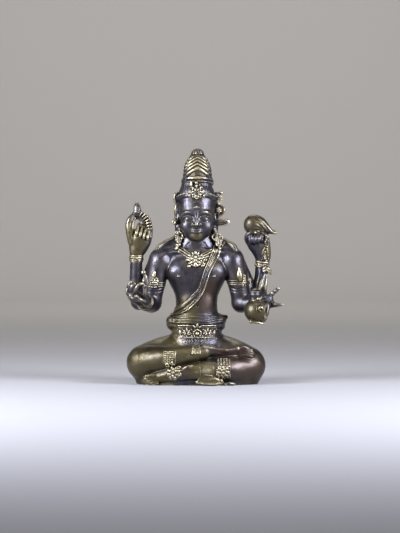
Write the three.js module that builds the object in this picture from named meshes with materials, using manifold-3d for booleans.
// Four-armed seated Shiva figure, a small solid lost-wax casting in dark-patinated bronze.
// Millimetres, +Z up, the figure faces -Y. "right" and "left" are the figure's own: its right side is at -X.
// The origin is on the plane that it sits on, under the body's midline and the middle of its trunk.
import * as THREE from "three";
import { mergeVertices } from "three/addons/utils/BufferGeometryUtils.js";
import Module from "manifold-3d";

const wasm = await Module();
wasm.setup();

// ---------------------------------------------------------------- driving dimensions
const HEIGHT = 150; // seat plane to the tip of the hair
const KNEE_R = 11.3;
const KNEE_X = 33;
const WAIST = 13.4; // half widths of the trunk
const HIP = 17.4;
const CHEST = 19.4;
const SHOULDER = [23.4, 0.4, 78];
const HAIR_X = 0.6; // the piled hair stands a little to the left
const HAIR_RING_Z = 128.7;
const HAIR_RING_R = 9.35;
const HAIR_ROWS = 4; // stepped rows of the piled hair
const BEAD = 1.75; // radius of the string of beads
const POT = { x: 38, y: -15.5, z: 46.8, r: 7.95 };
const WHISK = { x: 36.4, y: 0.5, z: 100.9, r: 6.25 };

const bronze = new THREE.MeshStandardMaterial({
  color: 0x4a3f2c,
  roughness: 0.42,
  metalness: 0.85,
});

// ---------------------------------------------------------------- solids
const V = (p) => new THREE.Vector3(p[0], p[1], p[2]);

// A closed three.js geometry as a solid that can be joined and cut.
function solid(geometry) {
  const g = geometry.clone();
  g.deleteAttribute("normal");
  g.deleteAttribute("uv");
  const m = mergeVertices(g, 1e-4);
  const make = (index) =>
    new wasm.Manifold(
      new wasm.Mesh({
        numProp: 3,
        vertProperties: new Float32Array(m.attributes.position.array),
        triVerts: index,
      }),
    );
  const index = new Uint32Array(m.index.array);
  const s = make(index);
  if (s.volume() > 0) return s;
  for (let i = 0; i < index.length; i += 3)
    [index[i + 1], index[i + 2]] = [index[i + 2], index[i + 1]];
  return make(index);
}

// Facets round a section of that radius.
const sidesFor = (r) => Math.min(11, Math.max(4, Math.round(3.1 + r * 0.66)));

// A sphere whose rings are laid along a smooth path: stations are [x, y, z, r], with an optional
// squash [along, factor] that thins every section along one direction, and the rings in each round end.
function limb(stations, squash = null, ends = null) {
  const most = Math.max(...stations.map((s) => s[3]));
  const sides = sidesFor(most);
  const [headCap, tailCap] = ends ?? (most < 5 ? [1, 1] : [1, 2]);
  const steps = stations.length - 1;
  const path = new THREE.CatmullRomCurve3(
    stations.map((s) => V(s)),
    false,
    "centripetal",
  );
  const rings = steps + headCap + tailCap;
  const g = new THREE.SphereGeometry(1, sides, rings);
  const pos = g.attributes.position;
  const radius = (t) => {
    const f = t * (stations.length - 1);
    const i = Math.min(stations.length - 2, Math.floor(f));
    const u = f - i;
    const w = u * u * (3 - 2 * u);
    return stations[i][3] * (1 - w) + stations[i + 1][3] * w;
  };
  let side = new THREE.Vector3(0, 0, 1);
  const first = path.getTangent(0);
  if (Math.abs(first.dot(side)) > 0.9) side = new THREE.Vector3(0, 1, 0);
  const thin = squash ? V(squash[0]).normalize() : null;
  for (let iy = 0; iy <= rings; iy++) {
    const inner = (iy - headCap) / steps;
    const t = Math.min(1, Math.max(0, inner));
    const c = path.getPoint(t);
    const d = path.getTangent(t).normalize();
    const e1 = side.clone().addScaledVector(d, -side.dot(d)).normalize();
    side = e1;
    const e2 = new THREE.Vector3().crossVectors(e1, d).normalize();
    let r = radius(t);
    let push = 0;
    if (iy < headCap || iy > rings - tailCap) {
      const head = iy < headCap;
      const k = head ? (headCap - iy) / headCap : (iy - (rings - tailCap)) / tailCap;
      const a = (k * Math.PI) / 2;
      push = (head ? -1 : 1) * r * Math.sin(a);
      r *= Math.cos(a);
    }
    for (let ix = 0; ix <= sides; ix++) {
      const a = ((ix % sides) / sides) * 2 * Math.PI;
      const p = c
        .clone()
        .addScaledVector(d, push)
        .addScaledVector(e1, r * Math.cos(a))
        .addScaledVector(e2, r * Math.sin(a));
      if (iy === 0 || iy === rings) p.copy(c).addScaledVector(d, push);
      if (thin) {
        const off = p.clone().sub(c);
        p.addScaledVector(thin, -off.dot(thin) * (1 - squash[1]));
      }
      pos.setXYZ(iy * (sides + 1) + ix, p.x, p.y, p.z);
    }
  }
  return solid(g);
}

function ball(centre, radii) {
  const r = Array.isArray(radii) ? radii : [radii, radii, radii];
  const sides = sidesFor(Math.max(...r));
  const g = new THREE.SphereGeometry(1, sides, Math.max(4, Math.round(sides * 0.55)))
    .scale(...r)
    .translate(...centre);
  return solid(g);
}

// Level oval sections stacked up: [z, half width, half depth, y of the middle].
function stack(sections, sides) {
  const rings = sections.length + 1;
  const g = new THREE.SphereGeometry(1, sides, rings);
  const pos = g.attributes.position;
  for (let iy = 0; iy <= rings; iy++) {
    const s = sections[Math.min(sections.length - 1, Math.max(0, iy - 1))];
    for (let ix = 0; ix <= sides; ix++) {
      const a = ((ix % sides) / sides) * 2 * Math.PI;
      const flat = iy === 0 || iy === rings ? 0 : 1;
      pos.setXYZ(
        iy * (sides + 1) + ix,
        flat * s[1] * Math.cos(a),
        s[3] + flat * s[2] * Math.sin(a),
        s[0],
      );
    }
  }
  return solid(g);
}

// An oval hoop: its half widths across the axis, and the radius of its wire.
function ring(centre, axis, [a, b], wire) {
  const sides = Math.min(12, Math.round(4.5 + Math.max(a, b) * 0.6));
  const g = new THREE.TorusGeometry(a, wire, 4, sides).scale(1, b / a, 1);
  g.applyQuaternion(
    new THREE.Quaternion().setFromUnitVectors(
      new THREE.Vector3(0, 0, 1),
      V(axis).normalize(),
    ),
  );
  return solid(g.translate(...centre));
}

const all = (...parts) => parts.flat().reduce((a, b) => a.add(b));

// ---------------------------------------------------------------- legs and seat
// Right leg on top, its foot on the left thigh with the sole turned up; left leg below it.
const rightLeg = all(
  limb([[-9, 8, 19.5, 12.5], [-20, 1, 18, 11.8], [-27, -5, 16, 11.2], [-KNEE_X, -9.5, 13.7, KNEE_R]]),
  limb([[-31, -13, 15, 9.4], [-22, -19.5, 17, 8.2], [-12, -22.6, 18.8, 6.9], [-2, -23.4, 20.2, 5.5], [5, -22.6, 21.4, 4.7]]),
  limb([[4.8, -22, 22, 4.5], [14, -20.6, 21.1, 4.1], [22, -18.4, 20.8, 4.1], [26.6, -17, 21, 3.9]], [[0, 0.5, 0.85], 0.86]),
  limb([[1, -20.5, 17.4, 3.2], [12, -19.2, 17, 3.6], [22, -16.5, 16.6, 4.6]]), // between the foot and the left thigh
);
const rightToes = [[23.9, 33.2, 0.95], [22.8, 34.5, 1], [21.6, 35.1, 1.05], [20.3, 35.2, 1.1], [18.7, 35, 1.4]].map(([z, x, r], i) =>
  limb([[27, -19.2 + i * 0.12, z - 0.1, r * 1.1], [x - 0.6, -18.6, z - 0.9, r]]),
);
const leftLeg = all(
  limb([[9, 8, 19.5, 12.5], [20, 1, 17.4, 12], [27, -5, 14.4, 11.8], [KNEE_X - 1, -9, 11.6, KNEE_R + 0.4]]),
  limb([[30, -13, 10.4, 9.2], [21, -20, 10.6, 7.9], [12, -23.6, 10.3, 6.6], [3, -25.4, 9.7, 5.6], [-6, -26, 8.8, 5], [-14, -25, 7.4, 4.6]]),
  limb([[-14.5, -24.6, 7, 4.5], [-21, -22.4, 5.6, 4.1], [-27, -20, 4.4, 3.7]]),
);
const leftToes = [[5.6, -31.8, 1.45], [4.1, -32.2, 1.15], [2.9, -31.2, 1.05], [1.6, -29.4, 1.05]].map(([z, x, r]) =>
  limb([[-25.6, -23.2, z + 0.4, r * 1.05], [x + 0.4, -22.4, z - 0.2, r]]),
);
// low flat mass below the crossed legs
const underside = stack([[-3, 37.6, 17, -8], [3.6, 38.4, 17.4, -8], [9, 33, 15, -7]], 14);
// pleated end of the cloth, spread in a fan below the shins
const fan = limb([[2, -27.4, 3.6, 3.2], [9, -28, 2.6, 3.4], [16, -26.4, 2.2, 2.6]], [[0, 1, 0], 0.7]);

// ---------------------------------------------------------------- trunk
// level sections from the seat, over the hips and the rolled belt, to the neck
const trunk = stack(
  [
    [-3, 27, 19.5, 1],
    [7, 27, 20, 1.6],
    [16, 24, 18.4, 3],
    [22, 20.4, 15.8, 3.4],
    [26, 17.6, 13.6, 3.2],
    [31, HIP - 1, 12.4, 2.7],
    [35, HIP - 0.2, 13.2, 2.4],
    [38.4, HIP + 1.6, 13.8, 2.2],
    [41.4, HIP + 1.6, 13.2, 2],
    [44.6, WAIST + 1.4, 10.6, 1.6],
    [51, WAIST, 9.5, 0.9],
    [57, WAIST + 0.8, 9.9, 0.4],
    [64, 17, 11.2, -0.1],
    [71, CHEST, 11.7, -0.2],
    [77, CHEST + 0.8, 10.8, 0.2],
    [82.5, 16.2, 9, 1],
    [87, 11.6, 8.2, 1.1],
    [97, 9.2, 7.2, 0.6],
  ],
  12,
);
const shoulders = all(
  limb([[-23, 0.7, 78.8, 6.9], [-12, 1.1, 82, 6.4], [12, 1.1, 82, 6.4], [23, 0.7, 78.8, 6.9]]),
  [-1, 1].map((s) => limb([[s * 6, 2, 90, 5], [s * 14, 1.8, 87, 4.9], [s * 22.8, 0.3, 81.6, 5]])),
);
// ribbons of hair that lie over the shoulders
const shoulderRibbons = [-1, 1].map((s) =>
  limb([[s * 11.2, 2.4, 94.3, 1.6], [s * 18.2, 1, 90.2, 1.9], [s * 23.6, -1.1, 86.9, 2.05], [s * 25.2, -3.8, 81.8, 1.6]]),
);
const hairLocks = [-1, 1].map((s) =>
  limb([[s * 10.8, -1.8, 99, 1.6], [s * 12.2, -4, 94, 2.1], [s * 12.4, -5.6, 90, 1.9], [s * 14, -6.6, 86.2, 1.2]]),
);
const nipples = [-1, 1].map((s) => ball([s * 11.2, -10.4, 68.5], [1.4, 1.4, 1.1]));

// clasp of the belt and the necklace plaque
const beltClasp = all(
  ball([0, -12.6, 35.4], [5.4, 1.9, 3.4]),
  limb([[-11.6, -9.6, 35.6, 1.9], [-8, -11.4, 35.6, 1.9]]),
  limb([[8, -11.4, 35.6, 1.9], [11.6, -9.6, 35.6, 1.9]]),
);
const necklace = all(
  ball([-0.4, -11.2, 79.4], [4, 1.9, 4.2]),
  [-1, 1].map((s) => [
    ball([s * 5.3 - 0.4, -10.1, 78.2], [1.7, 1.6, 1.7]),
    ball([s * 4.5 - 0.4, -10.8, 74.9], [1.8, 1.6, 1.5]),
  ]).flat(),
);
// sash from the left shoulder to the right side of the waist, and on round the back
const sash = all(
  limb([[13.9, -5.4, 86.2, 2.3], [11.8, -8.6, 80, 2.3], [7.6, -10.8, 72, 2.2], [4.2, -10.4, 63, 2.2], [-1.4, -9, 54.2, 2.8], [-6.6, -8.2, 49.4, 3.2], [-11.2, -5.4, 46, 2.2]], [[0.2, 1, 0], 0.5]),
  limb([[14, -5.4, 86, 2], [15.5, 1, 87.4, 2], [14, 7, 84, 2], [9.5, 10.6, 75, 2], [3, 10.4, 63, 2], [-6, 9, 52, 2], [-11.6, 6, 45.6, 2]], [[0.2, 1, 0], 0.6]),
);

// ---------------------------------------------------------------- head
const skull = all(
  stack(
    [
      [89.6, 3.2, 2.6, -6.6],
      [91.6, 6, 5.6, -4.8],
      [95.4, 8.7, 9.2, -2.8],
      [100, 10, 11.6, -1],
      [105.5, 11.2, 13.2, 0.6],
      [112, 12, 13.3, 1.2],
      [119.6, 12.1, 12.5, 1.3],
      [123.4, 10.8, 11.4, 0.9],
      [127.4, 9.4, 9.6, 0.6],
    ],
    12,
  ),
  ring([0.1, 1.2, 116], [0, 0.31, 1], [11.8, 13], 2), // band of the diadem, higher in front
  limb([[0, -11.6, 106.6, 0.9], [0, -13.2, 102.4, 1.5]]), // nose
  ball([0, -11.6, 98.2], [3, 1.4, 1.5]), // lips
  ball([0, -9.4, 93.4], [3, 2.2, 2.4]), // chin
  ball([-4.4, -10.6, 105.4], [2.2, 1.3, 1]), // lowered eyelids
  ball([4.4, -10.6, 105.4], [2.2, 1.3, 1]),
);
const ears = [-1, 1].map((s) =>
  limb([[s * 11.6, 1.4, 108.6, 2], [s * 12.1, 0.4, 104, 1.8], [s * 11.8, -0.8, 97.6, 1.4]]),
);
const earrings = all(
  ball([-14, -1.6, 103], [1.9, 1.7, 1.9]),
  limb([[12, -0.9, 102.6, 1.9], [17, -1, 102.5, 2.3], [20.4, -0.8, 102.9, 1.3]], [[0, 1, 0], 0.6]),
);
const crownTabs = all(
  ball([-13, -1.8, 118.4], [1.8, 2.2, 3.8]),
  ball([13.4, -0.9, 119.2], [2.6, 2.2, 2.9]),
  ball([14, 0.6, 110.4], [3.2, 2.2, 3.6]),
  ball([-12.4, 1.6, 109.6], [1.5, 2.4, 3.8]),
);
// hair gathered on the nape
const nape = all(
  limb([[0, 10.6, 108, 5.6], [0, 11.6, 98, 6.2], [0, 9.6, 88, 5.2]], [[0, 1, 0], 0.72]),
  [-1, 1].map((s) => limb([[s * 9, 6.8, 110, 4.4], [s * 9.3, 6.2, 100, 4.6], [s * 10.4, 3.6, 90.6, 3.4]])),
);
// front ornament of the diadem
const diadem = all(
  ball([0.1, -12.6, 121], [4.2, 1.9, 3.8]),
  limb([[-0.1, -11.4, 122, 2.2], [-0.1, -10.4, 128.2, 1]]),
);
// piled hair: a turned profile, stepped in rows above its tilted ring
const hairRow = (t) => {
  const z = HAIR_RING_Z + 1.8 + t * 15;
  const r = 9.1 - 0.7 * t - 2.6 * t ** 3;
  return [[r + 0.1, z], [r + 0.35, z + 1.2]];
};
const hairProfile = [
  [0, 124], [9.6, 126.4],
  ...Array.from({ length: HAIR_ROWS }, (_, i) => hairRow(i / HAIR_ROWS)).flat(),
  [5.6, 144.6], [4.3, 146.2], [3.3, 148.2], [1.6, 149.6], [0, HEIGHT],
].map(([r, z]) => new THREE.Vector2(r, z));
const hair = all(
  solid(new THREE.LatheGeometry(hairProfile, 11).rotateX(Math.PI / 2).translate(HAIR_X, 0.4, 0)),
  ring([HAIR_X, 0.4, HAIR_RING_Z], [0, 0.2, 1], [HAIR_RING_R, HAIR_RING_R], 1.15),
);

// ---------------------------------------------------------------- arms
const S = SHOULDER;
const frontArms = all(
  [-1, 1].map((s) => limb([[s * S[0], S[1] - 1.4, S[2], 7.1], [s * 24.9, -1, 70.5, 6.8], [s * 27, -0.2, 60, 6.2], [s * 28.4, 0.5, 51.2, 5.9]])),
);
const rearArms = all(
  limb([[-S[0], S[1] + 3.6, S[2], 7], [-28.6, 6, 68, 6.2], [-33.6, 6.6, 58, 5.8], [-36.8, 5.8, 51.4, 5.6]]),
  limb([[S[0], S[1] + 3.6, S[2], 7], [28.8, 6, 68, 6.2], [34.4, 6.6, 58, 5.8], [38, 5.8, 52.4, 5.6]]),
  limb([[-36.9, 5.6, 52, 5.4], [-38.4, 4.6, 60, 4.5], [-38.7, 3.4, 70, 4.05], [-38.4, 2.3, 79, 3.8]]),
  limb([[37.6, 5.6, 52.8, 5.5], [39.6, 4.4, 60, 4.4], [41, 3.2, 67, 4], [42, 2.3, 76, 4.1]]),
);
const frontForearms = all(
  limb([[-28.6, 0.4, 51.6, 5.9], [-31.8, -6.4, 51.6, 5.2], [-34.4, -13, 53, 4], [-35.6, -16.5, 54.6, 3.7]]),
  limb([[28.6, 0.4, 51.4, 5.9], [33, -4, 50.6, 5.2], [38, -8, 50.6, 4.2], [41, -10.4, 51, 3.8]]),
);
const bracelets = all(
  ring([-38.45, 2.3, 79.7], [0.02, -0.1, 1], [3.5, 3.5], 1.5),
  ring([42, 2.3, 76], [0.1, -0.1, 1], [3.7, 3.7], 1.6),
  limb([[43, -1, 72.6, 1.6], [45.2, -1.6, 73, 1.7], [47.3, -0.8, 70.2, 0.9]]), // bud on the left rear bracelet
  [-1, 1].map((s) => [
    limb([[s * 27, -6.2, 62.6, 2.4], [s * 26.6, -6.6, 67, 2.1], [s * 26.2, -6.4, 71.4, 0.8]]), // armlet plate
  ]).flat(),
);

// right rear hand: fingers curled into a loop, closed by a thick crescent on one side and a string of beads on the other
const rosary = all(
  limb([[-36.6, 1.2, 108.6, BEAD * 0.8], [-32.1, 0.9, 105.6, BEAD], [-29.9, 0.6, 99.6, BEAD + 0.1], [-30.2, 0.4, 93.6, BEAD + 0.1]]),
  limb([[-41.2, 1.2, 90, 2.6], [-42.9, 0.2, 98, 2.4], [-42.2, 0.3, 104.6, 2], [-38.6, 0.9, 108.4, 1.2]]),
  limb([[-37.1, 1.2, 107.6, 1.9], [-37.1, 1.2, 109.8, 2.6], [-37.3, 1.2, 112.6, 2.1], [-37.4, 1.2, 115.8, 0.6]]), // finial
);
const rightRearHand = all(
  limb([[-38.4, 2.2, 80.2, 3.7], [-38.1, 2.1, 83.4, 4.7], [-37, 2.3, 87.6, 6.2], [-36, 2.5, 92, 7]], [[0, 1, 0], 0.66]),
  limb([[-36.8, 2.6, 96.4, 3.2], [-34, 2.3, 100.6, 3.2], [-35.4, 2, 105, 2.2]], [[0, 1, 0], 0.5]),
  [0, 1, 2, 3].map((i) => limb([[-37.6 + i * 2.55, -0.4, 99 - i * 0.95, 1.35], [-38.5 + i * 2.55, -2.9, 95.8 - i * 0.95, 1.25]])),
);

// left rear hand: a fist round the handle of a fly whisk, whose hair swells and droops outwards
const leftRearHand = all(
  limb([[42, 2.2, 77.6, 4], [42, 2.1, 81, 4.8], [40.6, 1.8, 86, 6], [38.3, 0.9, 93, 6.8]], [[0, 1, 0], 0.72]),
  limb([[43.4, 0.8, 94, 2.4], [45, 1.2, 87, 2.5], [45.3, 1.6, 79.4, 2.1]]), // hair down the outer edge
  [0, 1, 2, 3].map((i) => limb([[34.3 + i * 2.4, -2, 94.8, 1.6], [34.3 + i * 2.4, -3.9, 91, 1.4]])),
  limb([[32.2, -1.2, 91, 1.7], [32.6, -3, 94.4, 1.6], [36.8, -4.4, 96.1, 1.2]]), // thumb
);
const whisk = all(
  ball([WHISK.x, WHISK.y, WHISK.z], [WHISK.r, WHISK.r * 0.88, WHISK.r]),
  limb([[36.2, 0.4, 102.4, 5], [40.4, 0.1, 101.9, 4.1], [43.6, -0.1, 99.7, 2.9], [46.6, -0.3, 97.2, 1.8], [50.3, -0.4, 96.1, 1.1]]),
);

// right front hand: palm up, thumb and finger round an open ring, and the stem of a bud beside it
const rightFrontHand = all(
  limb([[-33.6, -11.6, 52.2, 3.6], [-36.4, -16, 54, 4.4], [-39.6, -19.2, 57, 3.9]], [[0.3, -0.8, 0.5], 0.7]),
  limb([[-41, -16.6, 55.8, 2.4], [-42.2, -19.8, 60, 2], [-41.4, -21.6, 64.6, 1.1]]),
  limb([[-39.8, -18.8, 58, 2.1], [-40.8, -21.6, 60.6, 1.9], [-39.2, -23.1, 63.4, 1.2]]),
  limb([[-39.4, -21, 57, 1.7], [-37.8, -23.6, 61.4, 1.3], [-35.6, -24, 63.7, 1.1], [-32.8, -22.6, 62.8, 0.9]]), // finger
  limb([[-31.6, -13.8, 51.4, 2.5], [-32.8, -21, 52.6, 1.8], [-37.8, -24, 55.6, 1.4]]), // thumb
  limb([[-32.5, -18.6, 54.2, 1.6], [-31.9, -21.3, 60.4, 1.1], [-31.5, -21.8, 67, 0.95], [-33, -22.3, 71, 0.95]]),
  ball([-33.3, -22.3, 71.1], [1.65, 1.6, 1.45]),
);

// left front hand: fingers round a water pot with a short spout, two of them spread outwards
const leftFrontHand = all(
  limb([[40.4, -9.4, 50.6, 3.8], [43, -12.6, 52.8, 4.4], [45.4, -14.2, 53.8, 3.4]], [[0, 0.8, 0.6], 0.8]),
  limb([[45.6, -13.8, 55, 2], [48.2, -14.8, 57.8, 1.5], [51.9, -15.1, 60.9, 1.1]]),
  limb([[46.4, -14, 52.2, 2], [49.4, -15, 50.8, 1.3], [54.1, -15.3, 50.5, 0.9]]),
  limb([[43, -13.4, 55.6, 2], [39.6, -19.2, 54.4, 1.6]]),
  limb([[44.6, -14.4, 51.8, 2.1], [44.5, -20, 47.6, 1.7], [43.4, -20.6, 43.2, 1.3]]),
  limb([[43.3, -12.6, 45, 1.8], [41.2, -16.4, 40, 1.5], [34.6, -19.4, 39.9, 1.3]]),
  limb([[43.8, -0.9, 69, 1.2], [42.2, -3.6, 61.4, 2.5], [42, -8.6, 56.4, 2.4]]), // folds that rise to the bracelet
);
const pot = all(
  ball([POT.x, POT.y, POT.z], POT.r),
  solid(
    new THREE.LatheGeometry(
      [[0, 0], [3.9, 0], [3.4, 2.6], [3.9, 3.6], [4.2, 4.4], [3.8, 5.4], [2.4, 6.2], [0, 6.3]].map(([r, z]) => new THREE.Vector2(r, z)),
      10,
    )
      .rotateX(Math.PI / 2)
      .translate(POT.x - 0.9, POT.y, POT.z + 6.2),
  ),
  limb([[POT.x + 1.3, POT.y - 5.3, POT.z + 0.8, 2.5], [POT.x + 2.4, POT.y - 8.7, POT.z + 1.8, 2]]), // spout
);

// garters, anklets and their rosettes
const garters = all(
  ring([-16.4, -21.1, 17.6], [0.93, -0.34, 0.16], [7, 7], 1.2),
  ball([17, -27.8, 7.4], [3.4, 2, 3.8]),
  ball([-15, -28.2, 7.9], [4.4, 2.2, 4.4]),
);

// ---------------------------------------------------------------- one casting
const joined = all(
  rightLeg, rightToes, leftLeg, leftToes, underside, fan,
  trunk, shoulders, shoulderRibbons, hairLocks, nipples, beltClasp, necklace, sash,
  skull, ears, earrings, crownTabs, nape, diadem, hair,
  frontArms, rearArms, frontForearms, bracelets,
  rosary, rightRearHand, leftRearHand, whisk, rightFrontHand, leftFrontHand, pot, garters,
);
// everything below the seat plane is cut away, which leaves the flat underside
const below = solid(new THREE.BoxGeometry(200, 200, 60).translate(0, 0, -30));
const cast = joined.subtract(below);

function geometryOf(s) {
  const m = s.getMesh();
  const n = m.numProp;
  const v = new Float32Array(m.numVert * 3);
  for (let i = 0; i < m.numVert; i++)
    v.set(m.vertProperties.subarray(i * n, i * n + 3), i * 3);
  const g = new THREE.BufferGeometry()
    .setAttribute("position", new THREE.BufferAttribute(v, 3))
    .setIndex(new THREE.BufferAttribute(new Uint32Array(m.triVerts), 1));
  g.computeVertexNormals();
  return g;
}

const figure = new THREE.Mesh(geometryOf(cast.simplify(0.26)), bronze);
figure.name = "shiva_figure";

const part = new THREE.Group();
part.add(figure);
export default part;
